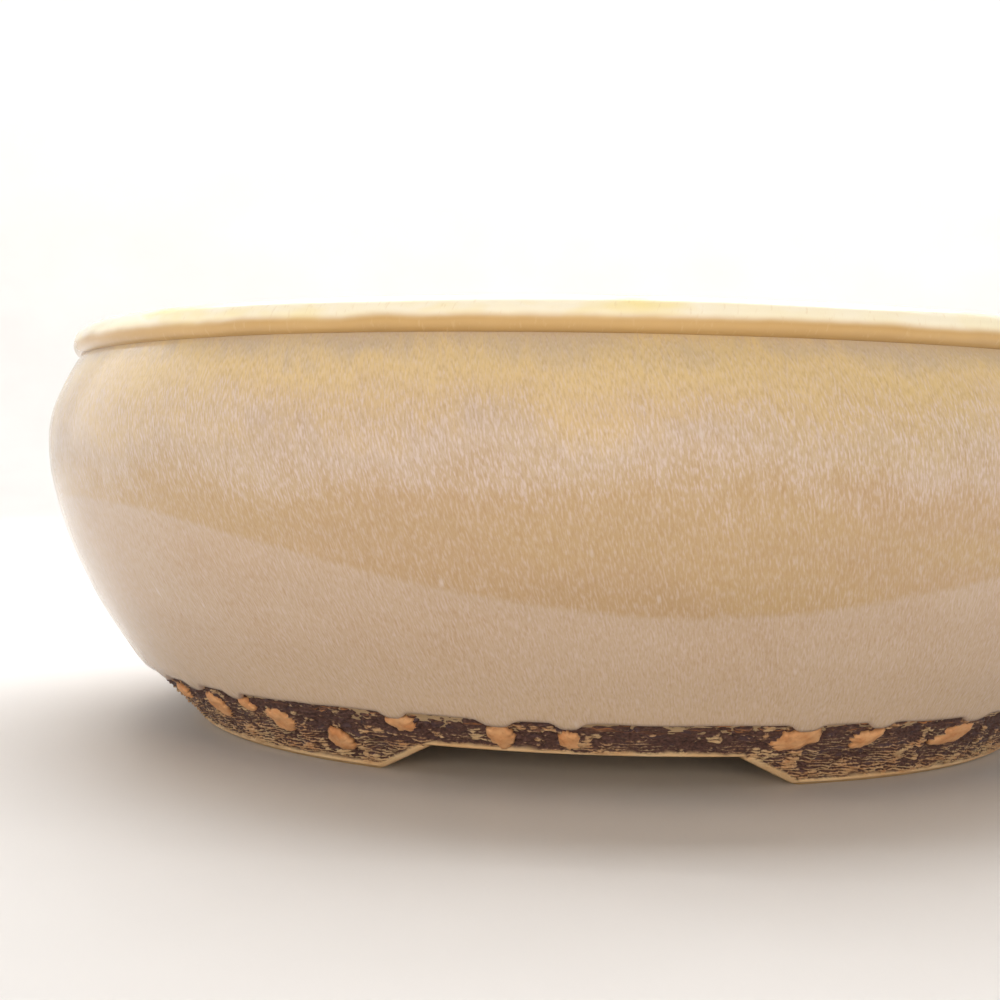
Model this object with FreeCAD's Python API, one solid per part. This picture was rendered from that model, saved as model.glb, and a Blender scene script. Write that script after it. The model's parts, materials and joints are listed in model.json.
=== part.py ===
"""A round, glazed stoneware bonsai pot, about 15 cm across and 5 cm tall, as the potter builds it.

A thrown wall stands on a floor slab with a drain hole and tie-wire holes. A coil seals the
inside corner and a rolled lip tops the wall. A rough, bark-like strip of clay wraps the base,
three feet carry it on, and smooth dabs of clay are pressed over both. Glaze coats the outside
down to the strip, and the lip down to a short way inside the mouth.

Units are millimetres, Z is up, the feet stand on Z = 0 and the pot's axis is the Z axis.
The front, where the gap between two feet is centred, faces -Y.
"""
import FreeCAD, Part

import math
import os

from FreeCAD import Vector

# ---- driving dimensions ------------------------------------------------------------------
GLAZE_THICKNESS = 0.5      # outer coat
RIM_GLAZE_THICKNESS = 0.4  # thinner where it runs off the lip

FOOT_HEIGHT = 3.7          # gap under the floor, and so the height of the feet
GLAZE_LINE_Z = 7.9         # lower edge of the glaze, upper edge of the bark strip
GLAZE_LINE_RADIUS = 62.3
BARK_SLOPE = 1.02          # how far the bark face runs inward for each mm it drops
BARK_THICKNESS = 2.1       # measured level, along the radius

FLOOR_RADIUS = 52.0
FLOOR_TOP_Z = 9.7
DRAIN_RADIUS = 11.0
DRAIN_CHAMFER = 0.6
WIRE_HOLE_RADIUS = 2.5
WIRE_CIRCLE_RADIUS = 34.0
WIRE_HOLE_COUNT = 4
WIRE_FIRST_HOLE = 45.0     # degrees round from the X axis

WALL_TOP_Z = 46.8
# Glazed outside of the wall as (radius, height): a belly just above half height, a mouth drawn in.
WALL_OUTSIDE = [(62.5, GLAZE_LINE_Z), (66.1, 12.5), (69.8, 18.8), (72.5, 25.0), (74.2, 31.2),
                (74.8, 35.5), (74.1, 40.0), (72.6, 43.7), (70.6, WALL_TOP_Z)]
# Bare clay inside of the wall, from the floor up.
WALL_INSIDE = [(53.5, FLOOR_TOP_Z), (58.2, 13.2), (63.0, 18.8), (66.3, 25.0), (68.4, 31.2),
               (69.0, 35.5), (68.4, 40.0), (67.0, 43.7), (65.2, WALL_TOP_Z)]

LIP_HEIGHT = 3.2
LIP_OUTER_RADIUS = 71.4
LIP_INNER_ROUND = 1.8
RIM_GLAZE_DROP_Z = 37.5    # where the glaze stops inside the mouth

COIL_INNER_RADIUS = 46.5
COIL_OVERRUN = 2.0         # how far its rough section runs into the wall before it is trimmed

FOOT_NAMES = ("foot_front_right", "foot_back", "foot_front_left")
FOOT_INNER_RADIUS = 47.6
FOOT_EDGE = 0.6            # wiped bevel along the inside of the sole
GAP_HALF_TOP = 16.5        # half width of the cut between two feet, at the floor
GAP_HALF_BOTTOM = 22.5     # and at the sole

DAB_THICKNESS = 0.45
DAB_LOWEST_Z = 0.6         # the dabs stop short of the table
# Each dab: azimuth from the front in degrees (positive to the right), height of its centre,
# half length, half width, and how many degrees it tilts up to the right.
DABS = [(-56.0, 5.6, 1.3, 1.0, 80), (-47.5, 5.2, 2.0, 1.2, 70), (-39.6, 6.3, 1.0, 0.8, 20),
        (-35.5, 4.9, 1.9, 1.3, -35), (-27.9, 3.3, 1.8, 1.0, 80), (-18.5, 6.5, 1.6, 0.9, -10),
        (-8.1, 5.8, 1.6, 1.3, 0), (-1.2, 5.6, 1.2, 1.0, 10), (21.5, 6.0, 2.7, 1.1, 25),
        (29.6, 5.8, 2.1, 0.9, 30), (42.4, 5.3, 2.9, 1.3, 25), (58.0, 5.6, 1.6, 1.2, 30),
        (74.0, 6.0, 1.3, 1.0, 0), (93.0, 5.2, 2.0, 1.3, 40), (110.0, 5.9, 1.3, 1.0, 10),
        (127.0, 5.7, 1.6, 1.1, -15), (146.0, 5.0, 2.2, 1.4, 30), (163.0, 5.9, 1.3, 1.0, 60),
        (180.0, 5.2, 1.8, 1.5, 15), (198.0, 5.9, 1.4, 1.1, 0), (214.0, 4.9, 2.1, 1.5, 35),
        (233.0, 5.8, 1.5, 1.1, -20), (250.0, 5.7, 1.4, 1.1, 10), (270.0, 5.3, 1.9, 1.4, 45),
        (287.0, 5.9, 1.2, 1.0, 0)]

FULL_TURN = 360.0
AXIS = Vector(0, 0, 1)
ORIGIN = Vector(0, 0, 0)


# ---- helpers -----------------------------------------------------------------------------
def section_point(radius, height):
    """A point of a section, which is drawn in the XZ plane and spun about Z."""
    return Vector(radius, 0, height)


def polyline(points):
    """Straight edges through (radius, height) points."""
    return [Part.makeLine(section_point(*a), section_point(*b)) for a, b in zip(points, points[1:])]


def smooth_edge(points):
    """One smooth curve through (radius, height) points."""
    curve = Part.BSplineCurve()
    curve.interpolate([section_point(*p) for p in points])
    return curve.toShape()


def arc_edge(start, middle, end):
    """A circular arc through three (radius, height) points."""
    return Part.Arc(section_point(*start), section_point(*middle), section_point(*end)).toShape()


def section_face(edges):
    return Part.Face(Part.Wire(Part.__sortEdges__(edges)))


def spin(face):
    return face.revolve(ORIGIN, AXIS, FULL_TURN)


def only_one(pieces):
    """The one face or solid that a boolean should have left."""
    if len(pieces) != 1:
        raise ValueError(f"expected one piece, found {len(pieces)}")
    return pieces[0]


def shifted(points, amount):
    """The same (radius, height) points moved along the radius."""
    return [(radius + amount, height) for radius, height in points]


def bark_radius(height):
    """Radius of the bark face, a cone that runs on down the feet."""
    return GLAZE_LINE_RADIUS - BARK_SLOPE * (GLAZE_LINE_Z - height)


# ---- floor, wall and coil ----------------------------------------------------------------
def floor_slab():
    thickness = FLOOR_TOP_Z - FOOT_HEIGHT
    slab = Part.makeCylinder(FLOOR_RADIUS, thickness, Vector(0, 0, FOOT_HEIGHT), AXIS)
    slab = slab.cut(Part.makeCylinder(DRAIN_RADIUS, thickness, Vector(0, 0, FOOT_HEIGHT), AXIS))
    wide = DRAIN_RADIUS + DRAIN_CHAMFER
    lower = Part.makeCone(wide, DRAIN_RADIUS, DRAIN_CHAMFER, Vector(0, 0, FOOT_HEIGHT), AXIS)
    upper = Part.makeCone(DRAIN_RADIUS, wide, DRAIN_CHAMFER,
                          Vector(0, 0, FLOOR_TOP_Z - DRAIN_CHAMFER), AXIS)
    slab = slab.cut(lower).cut(upper)
    for i in range(WIRE_HOLE_COUNT):
        angle = math.radians(WIRE_FIRST_HOLE + i * FULL_TURN / WIRE_HOLE_COUNT)
        centre = Vector(WIRE_CIRCLE_RADIUS * math.cos(angle), WIRE_CIRCLE_RADIUS * math.sin(angle),
                        FOOT_HEIGHT)
        slab = slab.cut(Part.makeCylinder(WIRE_HOLE_RADIUS, thickness, centre, AXIS))
    return only_one(slab.Solids)


def wall_section():
    """Section of the thrown wall, with a sloping seat at its base for the bark strip."""
    outside = shifted(WALL_OUTSIDE, -GLAZE_THICKNESS)
    base = [outside[0],
            (GLAZE_LINE_RADIUS - BARK_THICKNESS, GLAZE_LINE_Z),
            (bark_radius(FOOT_HEIGHT) - BARK_THICKNESS, FOOT_HEIGHT),
            (FLOOR_RADIUS, FOOT_HEIGHT),
            (FLOOR_RADIUS, FLOOR_TOP_Z),
            WALL_INSIDE[0]]
    return section_face([smooth_edge(outside), smooth_edge(WALL_INSIDE),
                         *polyline([outside[-1], WALL_INSIDE[-1]]), *polyline(base)])


def corner_coil_section():
    """A coil thumbed into the corner between the floor and the wall, with a hollow face."""
    inner, outer = (COIL_INNER_RADIUS, FLOOR_TOP_Z), WALL_INSIDE[1]
    run, rise = outer[0] - inner[0], outer[1] - inner[1]
    hollow = (run ** 2 + rise ** 2) / (2 * rise)  # radius of the arc that leaves the floor level
    half_angle = 0.5 * math.asin(run / hollow)
    middle = (inner[0] + hollow * math.sin(half_angle), inner[1] + hollow * (1 - math.cos(half_angle)))
    behind = outer[0] + COIL_OVERRUN
    rough = section_face([arc_edge(inner, middle, outer),
                          *polyline([outer, (behind, outer[1]), (behind, inner[1]), inner])])
    return only_one(rough.cut(wall_section()).Faces)


# ---- lip and glaze -----------------------------------------------------------------------
def lip_outline(grow):
    """Edges of the lip's top from its outer round to its inner side, grown by a coat's thickness.

    Returns the edges with the two open ends, at the wall's top.
    """
    outer_round = LIP_HEIGHT / 2
    outer_centre = (LIP_OUTER_RADIUS - outer_round, WALL_TOP_Z + outer_round)
    inner_side = WALL_INSIDE[-1][0]
    inner_centre = (inner_side + LIP_INNER_ROUND, WALL_TOP_Z + LIP_HEIGHT - LIP_INNER_ROUND)
    top = WALL_TOP_Z + LIP_HEIGHT + grow
    outer = outer_round + grow
    inner = LIP_INNER_ROUND + grow
    start = (outer_centre[0] + math.sqrt(outer ** 2 - outer_round ** 2), WALL_TOP_Z)
    diagonal = math.sqrt(0.5)
    edges = [
        arc_edge(start, (outer_centre[0] + outer, outer_centre[1]), (outer_centre[0], top)),
        *polyline([(outer_centre[0], top), (inner_centre[0], top)]),
        arc_edge((inner_centre[0], top),
                 (inner_centre[0] - inner * diagonal, inner_centre[1] + inner * diagonal),
                 (inner_centre[0] - inner, inner_centre[1])),
        *polyline([(inner_centre[0] - inner, inner_centre[1]), (inner_centre[0] - inner, WALL_TOP_Z)]),
    ]
    return edges, start, (inner_centre[0] - inner, WALL_TOP_Z)


def lip_section():
    edges, outer_end, inner_end = lip_outline(0)
    return section_face([*edges, *polyline([inner_end, outer_end])])


def coat_section(face_points, thickness):
    """An even coat between a smooth face and the same face moved out by a (signed) thickness."""
    clay = shifted(face_points, -thickness)
    return section_face([smooth_edge(face_points), smooth_edge(clay),
                         *polyline([face_points[0], clay[0]]), *polyline([face_points[-1], clay[-1]])])


def rim_glaze():
    """The coat over the lip, running a short way down inside the mouth."""
    edges, outer_end, inner_end = lip_outline(RIM_GLAZE_THICKNESS)
    lip_coat = section_face([*edges, *polyline([inner_end, outer_end])]).cut(lip_section())
    whole_inside = coat_section(shifted(WALL_INSIDE, -RIM_GLAZE_THICKNESS), -RIM_GLAZE_THICKNESS)
    mouth = [(0, RIM_GLAZE_DROP_Z), (LIP_OUTER_RADIUS, RIM_GLAZE_DROP_Z),
             (LIP_OUTER_RADIUS, WALL_TOP_Z), (0, WALL_TOP_Z)]
    inside_coat = whole_inside.common(section_face(polyline([*mouth, mouth[0]])))
    return only_one(spin(lip_coat).fuse(spin(inside_coat)).Solids)


# ---- bark strip, feet and dabs -----------------------------------------------------------
def bark_section():
    top, bottom = GLAZE_LINE_RADIUS, bark_radius(FOOT_HEIGHT)
    return section_face(polyline([(top - BARK_THICKNESS, GLAZE_LINE_Z), (top, GLAZE_LINE_Z),
                                  (bottom, FOOT_HEIGHT), (bottom - BARK_THICKNESS, FOOT_HEIGHT),
                                  (top - BARK_THICKNESS, GLAZE_LINE_Z)]))


def foot_ring():
    """The whole ring that the three feet are cut from."""
    corners = [(bark_radius(FOOT_HEIGHT), FOOT_HEIGHT), (bark_radius(0), 0),
               (FOOT_INNER_RADIUS + FOOT_EDGE, 0), (FOOT_INNER_RADIUS, FOOT_EDGE),
               (FOOT_INNER_RADIUS, FOOT_HEIGHT)]
    return spin(section_face(polyline([*corners, corners[0]])))


def gap_cutter(azimuth):
    """A bar with slanting sides, lying along a radius, that cuts the gap between two feet."""
    taper = GAP_HALF_BOTTOM - GAP_HALF_TOP  # over a foot's height, and the bar runs that far past each face
    wide, narrow = GAP_HALF_BOTTOM + taper, GAP_HALF_TOP - taper
    low, high = -FOOT_HEIGHT, 2 * FOOT_HEIGHT
    corners = [(-wide, low), (wide, low), (narrow, high), (-narrow, high)]
    points = [Vector(x, 0, z) for x, z in [*corners, corners[0]]]
    bar = Part.Face(Part.makePolygon(points)).extrude(Vector(0, -2 * FLOOR_RADIUS, 0))
    bar.rotate(ORIGIN, AXIS, azimuth)
    return bar


def feet():
    """The three feet by name, each running from one gap to the next."""
    pitch = FULL_TURN / len(FOOT_NAMES)
    ring = foot_ring()
    for i in range(len(FOOT_NAMES)):
        ring = ring.cut(gap_cutter(i * pitch))
    found = {}
    for foot in ring.Solids:
        centre = foot.CenterOfMass
        azimuth = math.degrees(math.atan2(centre.x, -centre.y)) % FULL_TURN
        found[FOOT_NAMES[int(azimuth // pitch)]] = foot
    return found


def clay_dabs():
    """Low smooth pads on the bark face, each a separate solid."""
    face_length = math.hypot(1, BARK_SLOPE)
    out = Vector(1 / face_length, 0, -BARK_SLOPE / face_length)  # square to the bark face, at azimuth 90
    up = Vector(BARK_SLOPE / face_length, 0, 1 / face_length)    # up the bark face
    right = Vector(0, 1, 0)
    face = [(bark_radius(z), z) for z in (GLAZE_LINE_Z, DAB_LOWEST_Z)]
    raised = [(radius + DAB_THICKNESS * out.x, z + DAB_THICKNESS * out.z) for radius, z in reversed(face)]
    layer = spin(section_face(polyline([*face, *raised, face[0]])))
    pads = []
    for azimuth, height, half_length, half_width, tilt in DABS:
        along = right * math.cos(math.radians(tilt)) + up * math.sin(math.radians(tilt))
        across = up * math.cos(math.radians(tilt)) - right * math.sin(math.radians(tilt))
        centre = Vector(bark_radius(height), 0, height) - out * (2 * DAB_THICKNESS)
        outline = Part.Ellipse(centre + along * half_length, centre + across * half_width, centre)
        plug = Part.Face(Part.Wire(outline.toShape())).extrude(out * (4 * DAB_THICKNESS))
        plug.rotate(ORIGIN, AXIS, azimuth - 90)
        pads.append(only_one(layer.common(plug).Solids))
    return Part.makeCompound(pads)


# ---- the assembly ------------------------------------------------------------------------
def build():
    return {
        "floor_slab": floor_slab(),
        "bowl_wall": spin(wall_section()),
        "corner_coil": spin(corner_coil_section()),
        "rim_lip": spin(lip_section()),
        "outer_glaze": spin(coat_section(WALL_OUTSIDE, GLAZE_THICKNESS)),
        "rim_glaze": rim_glaze(),
        "bark_band": spin(bark_section()),
        "clay_dabs": clay_dabs(),
        **feet(),
    }


def main():
    os.makedirs("parts", exist_ok=True)
    for name, shape in build().items():
        shape.exportStep(f"parts/{name}.step")
        print(f"{name}: {len(shape.Solids)} solid(s), {shape.Volume / 1000:.2f} cm3, valid {shape.isValid()}")


main()
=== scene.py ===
"""Looks for the round glazed bonsai pot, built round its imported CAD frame.

Every piece follows a surface that is measured on the CAD frame: glaze coats grow out of the clay,
the bark strip and the feet share one relief, and the dabs lie where the CAD's pads lie. All is in
metres, with the pot's axis on Z and its front towards -Y. An azimuth is measured round the axis
from the front, positive towards +X.
"""

import itertools
import json
import math

import bmesh
import bpy
import numpy as np
from mathutils import Matrix, Vector
from mathutils.bvhtree import BVHTree
from mathutils.geometry import delaunay_2d_cdt


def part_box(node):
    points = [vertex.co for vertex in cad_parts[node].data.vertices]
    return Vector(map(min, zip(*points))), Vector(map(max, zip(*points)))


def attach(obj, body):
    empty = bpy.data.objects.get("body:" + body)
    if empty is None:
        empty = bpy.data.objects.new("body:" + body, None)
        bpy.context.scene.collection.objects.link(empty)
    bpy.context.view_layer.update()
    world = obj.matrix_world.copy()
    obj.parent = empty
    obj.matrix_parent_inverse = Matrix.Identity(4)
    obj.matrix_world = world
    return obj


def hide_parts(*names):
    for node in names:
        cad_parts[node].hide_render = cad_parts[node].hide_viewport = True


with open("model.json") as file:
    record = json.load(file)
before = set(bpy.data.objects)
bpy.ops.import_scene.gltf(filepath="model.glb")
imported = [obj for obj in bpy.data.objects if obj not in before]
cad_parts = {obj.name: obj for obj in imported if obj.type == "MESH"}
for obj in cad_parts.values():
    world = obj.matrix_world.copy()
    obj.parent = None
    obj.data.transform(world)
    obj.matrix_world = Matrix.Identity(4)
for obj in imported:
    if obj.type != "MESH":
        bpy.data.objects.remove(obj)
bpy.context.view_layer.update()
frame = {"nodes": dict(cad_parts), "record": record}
MM = 0.001
TURN = 2 * math.pi

# ---- the camera, at the photograph's viewing angle ---------------------------------------
CAMERA_DISTANCE = 0.225       # from the pot's axis
CAMERA_HEIGHT = 0.0336
CAMERA_AZIMUTH = math.radians(1.7)
CAMERA_TURN = math.radians(-5.42)   # where it looks, from straight back (+Y) towards +X
CAMERA_DROP = math.radians(1.166)
CAMERA_ROLL = math.radians(1.238)
CAMERA_LENS = 58.15           # mm
SENSOR_WIDTH = 36             # mm

# ---- sizes that only the looks need ------------------------------------------------------
COAT = 0.5 * MM               # body glaze
RIM_COAT = 0.4 * MM
BODY_COLUMNS, BODY_ROWS = 720, 125
BARK_COLUMNS, BARK_STEP = 2100, 0.08 * MM
FOOT_GRAIN = 0.19 * MM        # column spacing along a foot
COMB_PITCH = 0.5 * MM         # ridges left by dragging a comb round the strip
EDGE_ROUND = 0.55 * MM        # wiped edges of the strip and feet
WIPED_WIDTH = 0.95 * MM
LEAN, LEAN_SWING = 0.2, 0.1   # how far the glaze runs lean off upright, and its change round the pot
FEET = 3
GAP_FROM_FOOT = math.pi / FEET      # angle between the middles of a foot and the gap beside it
THROWING_PITCH = 7.5 * MM     # faint turns under the body glaze
FINGER_PITCH = 4.6 * MM       # finger rings inside the wall
TRIM_PITCH = 3.2 * MM         # trimmed spiral on the floor
SPONGED_EDGE = 0.7 * MM       # softened edges of the floor's holes
THUMB_PRESSES = 17            # round the corner coil
SEED = 11

# ---- sampling and noise ------------------------------------------------------------------
PROFILE_RAYS = 24             # round the pot at each height
PROFILE_HEIGHTS = 60
PROFILE_DEGREE = 9            # of the polynomial through a profile
# Large odd factors that scatter a lattice cell and a seed into a random-looking number.
LATTICE_FACTORS = (73856093, 19349663, 83492791)
SEED_FACTOR = 2654435761
MIXING_FACTORS = (1274126177, 668265263)


# ---- measuring the CAD frame -------------------------------------------------------------
def surface_tree(node):
    mesh = frame["nodes"][node].data
    return BVHTree.FromPolygons([v.co for v in mesh.vertices], [p.vertices for p in mesh.polygons])


def measured_radius(tree, height, from_outside):
    """Radius of a turned surface at a height, seen from outside or from the axis."""
    found = []
    for azimuth in np.arange(0, TURN, TURN / PROFILE_RAYS):
        out = Vector((math.sin(azimuth), -math.cos(azimuth), 0))
        start = out * (1 if from_outside else 0) + Vector((0, 0, height))
        hit = tree.ray_cast(start, -out if from_outside else out)[0]
        if hit:
            found.append(math.hypot(hit.x, hit.y))
    return max(found)


def smooth_profile(node, low, high, from_outside):
    """Radius as a smooth function of height, fitted to a turned CAD surface."""
    tree = surface_tree(node)
    margin = 0.02 * MM
    heights = np.linspace(low + margin, high - margin, PROFILE_HEIGHTS)
    radii = [measured_radius(tree, z, from_outside) for z in heights]
    return np.polynomial.Chebyshev.fit(heights, radii, PROFILE_DEGREE)


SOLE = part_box("foot_back")[0].z
FOOT_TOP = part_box("floor_slab")[0].z
FLOOR_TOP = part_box("floor_slab")[1].z
FLOOR_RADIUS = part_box("floor_slab")[1].x
GLAZE_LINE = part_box("outer_glaze")[0].z
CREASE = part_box("outer_glaze")[1].z
RIM_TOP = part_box("rim_glaze")[1].z
RIM_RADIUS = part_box("rim_glaze")[1].x
RIM_GLAZE_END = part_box("rim_glaze")[0].z
COIL_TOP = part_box("corner_coil")[1].z
COIL_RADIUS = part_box("corner_coil")[1].x
BARK_TOP_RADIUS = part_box("bark_band")[1].x
BARK_TREE = surface_tree("bark_band")
BARK_LOW_RADIUS = measured_radius(BARK_TREE, FOOT_TOP + 0.05 * MM, True)
BARK_BACK_RADIUS = measured_radius(BARK_TREE, FOOT_TOP + 0.05 * MM, False)
BARK_SLOPE = (BARK_TOP_RADIUS - BARK_LOW_RADIUS) / (GLAZE_LINE - FOOT_TOP - 0.05 * MM)
FOOT_INNER_RADIUS = measured_radius(surface_tree("foot_back"), FOOT_TOP / 2, False)
COIL_INNER_RADIUS = measured_radius(surface_tree("corner_coil"), FLOOR_TOP + 0.02 * MM, False)
BODY = smooth_profile("outer_glaze", GLAZE_LINE, CREASE, True)
INSIDE = smooth_profile("bowl_wall", FLOOR_TOP, CREASE, False)
MID_RADIUS = float(BODY((GLAZE_LINE + CREASE) / 2))
FACE_TILT = math.atan(BARK_SLOPE)   # of the bark face, from upright


def bark_radius(height):
    return BARK_TOP_RADIUS - BARK_SLOPE * (GLAZE_LINE - height)


# ---- noise and meshes --------------------------------------------------------------------
def lattice_noise(points, seed):
    """Smooth noise from -1 to 1 at an array of points, one lattice cell to the unit."""
    cell = np.floor(points).astype(np.int64)
    part = points - cell
    ease = part * part * part * (part * (part * 6 - 15) + 10)
    total = 0
    for corner in itertools.product((0, 1), repeat=3):
        key = (cell + corner) @ np.array(LATTICE_FACTORS) + seed * SEED_FACTOR
        key = (key ^ (key >> 13)) * MIXING_FACTORS[0] & 0x7FFFFFFF
        key = (key ^ (key >> 16)) * MIXING_FACTORS[1] & 0x7FFFFFFF
        weight = np.prod(np.where(corner, ease, 1 - ease), axis=-1)
        total = total + weight * ((key >> 7 & 0xFFFF) / 32767.5 - 1)
    return total


def cloudy(points, size, seed, octaves=3):
    """Layered noise about -1 to 1 whose largest lumps are as big as size."""
    size = np.asarray(size)
    return sum(lattice_noise(points / size * 2 ** k, seed + k) / 2 ** k for k in range(octaves)) / 1.5


def turned(azimuth, radius, height):
    """Points round the axis. On a plain cylinder they also place noise so that it joins up all round."""
    azimuth, radius, height = np.broadcast_arrays(azimuth, radius, height)
    return np.stack([radius * np.sin(azimuth), -radius * np.cos(azimuth), height], axis=-1)


def fade(value, start, end):
    """0 before start, 1 after end, smooth between. Start may be the larger."""
    t = np.clip((value - start) / (end - start), 0, 1)
    return t * t * (3 - 2 * t)


def grid_faces(rows, columns, close_rows, close_columns):
    row = np.arange(rows if close_rows else rows - 1)[:, None]
    column = np.arange(columns if close_columns else columns - 1)[None, :]
    next_row, next_column = (row + 1) % rows, (column + 1) % columns
    corners = [row * columns + column, row * columns + next_column,
               next_row * columns + next_column, next_row * columns + column]
    return np.stack(corners, axis=-1).reshape(-1, 4)


def mesh_object(name, vertices, faces, attributes):
    """An object with outward faces and per-vertex attributes, smooth but for its flat caps."""
    mesh = bpy.data.meshes.new(name)
    mesh.from_pydata(vertices.tolist(), [], [list(f) for f in faces])
    for key, values in attributes.items():
        kind, field = ("FLOAT_VECTOR", "vector") if values.ndim == 2 else ("FLOAT", "value")
        layer = mesh.attributes.new(key, kind, "POINT")
        layer.data.foreach_set(field, values.astype(np.float32).ravel())
    shaped = bmesh.new()
    shaped.from_mesh(mesh)
    bmesh.ops.recalc_face_normals(shaped, faces=shaped.faces)
    shaped.to_mesh(mesh)
    shaped.free()
    mesh.polygons.foreach_set("use_smooth", [p.loop_total <= 4 for p in mesh.polygons])
    piece = bpy.data.objects.new(name, mesh)
    bpy.context.scene.collection.objects.link(piece)
    return piece


def ring_object(name, points, attributes, close_columns=True):
    """A closed section loop (rows) carried round the axis (columns), capped where it is cut."""
    rows, columns = points.shape[:2]
    faces = grid_faces(rows, columns, True, close_columns).tolist()
    if not close_columns:
        first = [row * columns for row in range(rows)]
        faces += [first, [i + columns - 1 for i in first]]
    flat = {key: v.reshape(rows * columns, -1).squeeze() for key, v in attributes.items()}
    return mesh_object(name, points.reshape(-1, 3), faces, flat)


def settle(piece, node, material):
    """Hand a finished piece to the frame in place of a CAD node."""
    piece.data.materials.append(material)
    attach(piece, "root")
    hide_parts(node)


# ---- glaze coats -------------------------------------------------------------------------
def along_section(radius, height):
    """Distance down the section to each row."""
    step = np.hypot(np.diff(radius, axis=0), np.diff(height, axis=0))
    return np.concatenate([np.zeros((1,) + step.shape[1:]), np.cumsum(step, axis=0)])


def coat_piece(name, azimuth, radius, height, thickness, outward, extra):
    """A coat grown out of a clay section, with both of its edges rounded off.

    Outward is 1 where the section runs down the outside, and -1 where it runs up it. The flow
    attribute is the section laid out flat and wound slightly round the pot, as the glaze ran.
    """
    along = along_section(radius, height)
    to_end = np.minimum(along, along[-1] - along)
    rounding = np.clip(1 - to_end / thickness, 0, 1)
    depth = np.maximum(thickness * np.sqrt(1 - rounding ** 2), 0.02 * MM)
    run_r, run_z = np.gradient(radius, axis=0), np.gradient(height, axis=0)
    length = np.hypot(run_r, run_z)
    out_r = radius - outward * run_z / length * depth
    out_z = height + outward * run_r / length * depth
    points = np.concatenate([turned(azimuth, out_r, out_z),
                             turned(azimuth, radius, height)[::-1]])
    lean = LEAN - LEAN_SWING * np.sin(azimuth)
    flow = turned(azimuth - lean * along / MID_RADIUS, MID_RADIUS, along)
    attributes = {"flow": np.concatenate([flow, flow[::-1]])}
    attributes.update({k: np.concatenate([v, v[::-1]]) for k, v in extra.items()})
    return ring_object(name, points, attributes)


def glaze_edge(azimuth):
    """Height where the body glaze ends: a wavering line that dips over the dabs just below it."""
    edge = GLAZE_LINE + 0.16 * MM * cloudy(turned(azimuth, MID_RADIUS, 0), 9 * MM, SEED, 3)
    for pad in PADS:
        if pad["top"] > GLAZE_LINE - 1.7 * MM:
            away = (azimuth - pad["azimuth"] + math.pi) % TURN - math.pi
            reach = 0.9 * pad["half_width"] + 0.5 * MM
            edge = edge - 0.75 * MM * np.exp(-(away * BARK_TOP_RADIUS / reach) ** 4)
    return edge


def paler_zone_line(azimuth):
    """Height of the upper edge of the paler zone on the lower body, a line that rises and falls three times
    round the pot.
    """
    middle, swing, first = 24.6 * MM, 4.9 * MM, math.radians(8.2)
    waver = 0.35 * MM * cloudy(turned(azimuth, MID_RADIUS, 0), 22 * MM, SEED + 9, 3)
    return middle - swing * np.cos(3 * (azimuth - first)) + waver


def body_glaze():
    azimuth = np.linspace(0, TURN, BODY_COLUMNS, endpoint=False)[None, :]
    down = np.linspace(0, 1, BODY_ROWS)[:, None]
    edge = glaze_edge(azimuth)
    height = CREASE + (edge - CREASE) * down
    radius = np.where(height > GLAZE_LINE, BODY(np.maximum(height, GLAZE_LINE)),
                      BODY(GLAZE_LINE) - BARK_SLOPE * (GLAZE_LINE - height)) - COAT
    place = turned(azimuth, MID_RADIUS, height)
    turns = np.cos(height / THROWING_PITCH * TURN + azimuth)
    radius = radius + 0.035 * MM * turns - 0.1 * MM
    radius = radius + 0.07 * MM * lattice_noise(place / [30 * MM, 30 * MM, 18 * MM], SEED + 3)
    bead = 0.16 * MM * np.exp(-((height - edge) / (1.3 * MM) - 0.6) ** 2)
    above_paler_line = height - paler_zone_line(azimuth)
    ridge = 0.05 * MM * np.exp(-(above_paler_line / (0.8 * MM)) ** 2)
    extra = {"height": height + 0 * azimuth, "above_paler_line": above_paler_line,
             "above_edge": height - edge}
    return coat_piece("body_glaze", azimuth, radius + bead + ridge, height, COAT, 1, extra)


def lip_section():
    """The lip's clay from the crease over the top to the mouth: an upright face under a shoulder."""
    crown = RIM_TOP - RIM_COAT
    out = RIM_RADIUS - RIM_COAT
    inner = float(INSIDE(CREASE))
    outer_crease = float(BODY(CREASE)) - COAT
    corners = [(outer_crease, CREASE + 0.1 * MM), (out - 0.5 * MM, CREASE + 0.25 * MM),
               (out - 0.08 * MM, CREASE + 0.7 * MM), (out, CREASE + 1.2 * MM),
               (out - 0.12 * MM, crown - 1.25 * MM), (out - 0.6 * MM, crown - 0.55 * MM),
               (out - 1.5 * MM, crown - 0.12 * MM), (out - 2.8 * MM, crown),
               (inner + 1.6 * MM, crown - 0.25 * MM), (inner + 0.5 * MM, crown - 1.0 * MM),
               (inner + 0.03 * MM, crown - 2.1 * MM), (inner, CREASE)]
    return np.array(corners)


def eased_curve(corners, count):
    """Points along a smooth (Catmull-Rom) curve through a section's corners."""
    padded = np.concatenate([2 * corners[:1] - corners[1:2], corners, 2 * corners[-1:] - corners[-2:-1]])
    where = np.linspace(0, len(corners) - 1, count)
    span = np.minimum(where.astype(int), len(corners) - 2)
    t = (where - span)[:, None]
    a, b, c, d = (padded[span + k] for k in range(4))
    return 0.5 * (2 * b + (c - a) * t + (2 * a - 5 * b + 4 * c - d) * t ** 2
                  + (3 * b - a - 3 * c + d) * t ** 3)


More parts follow.
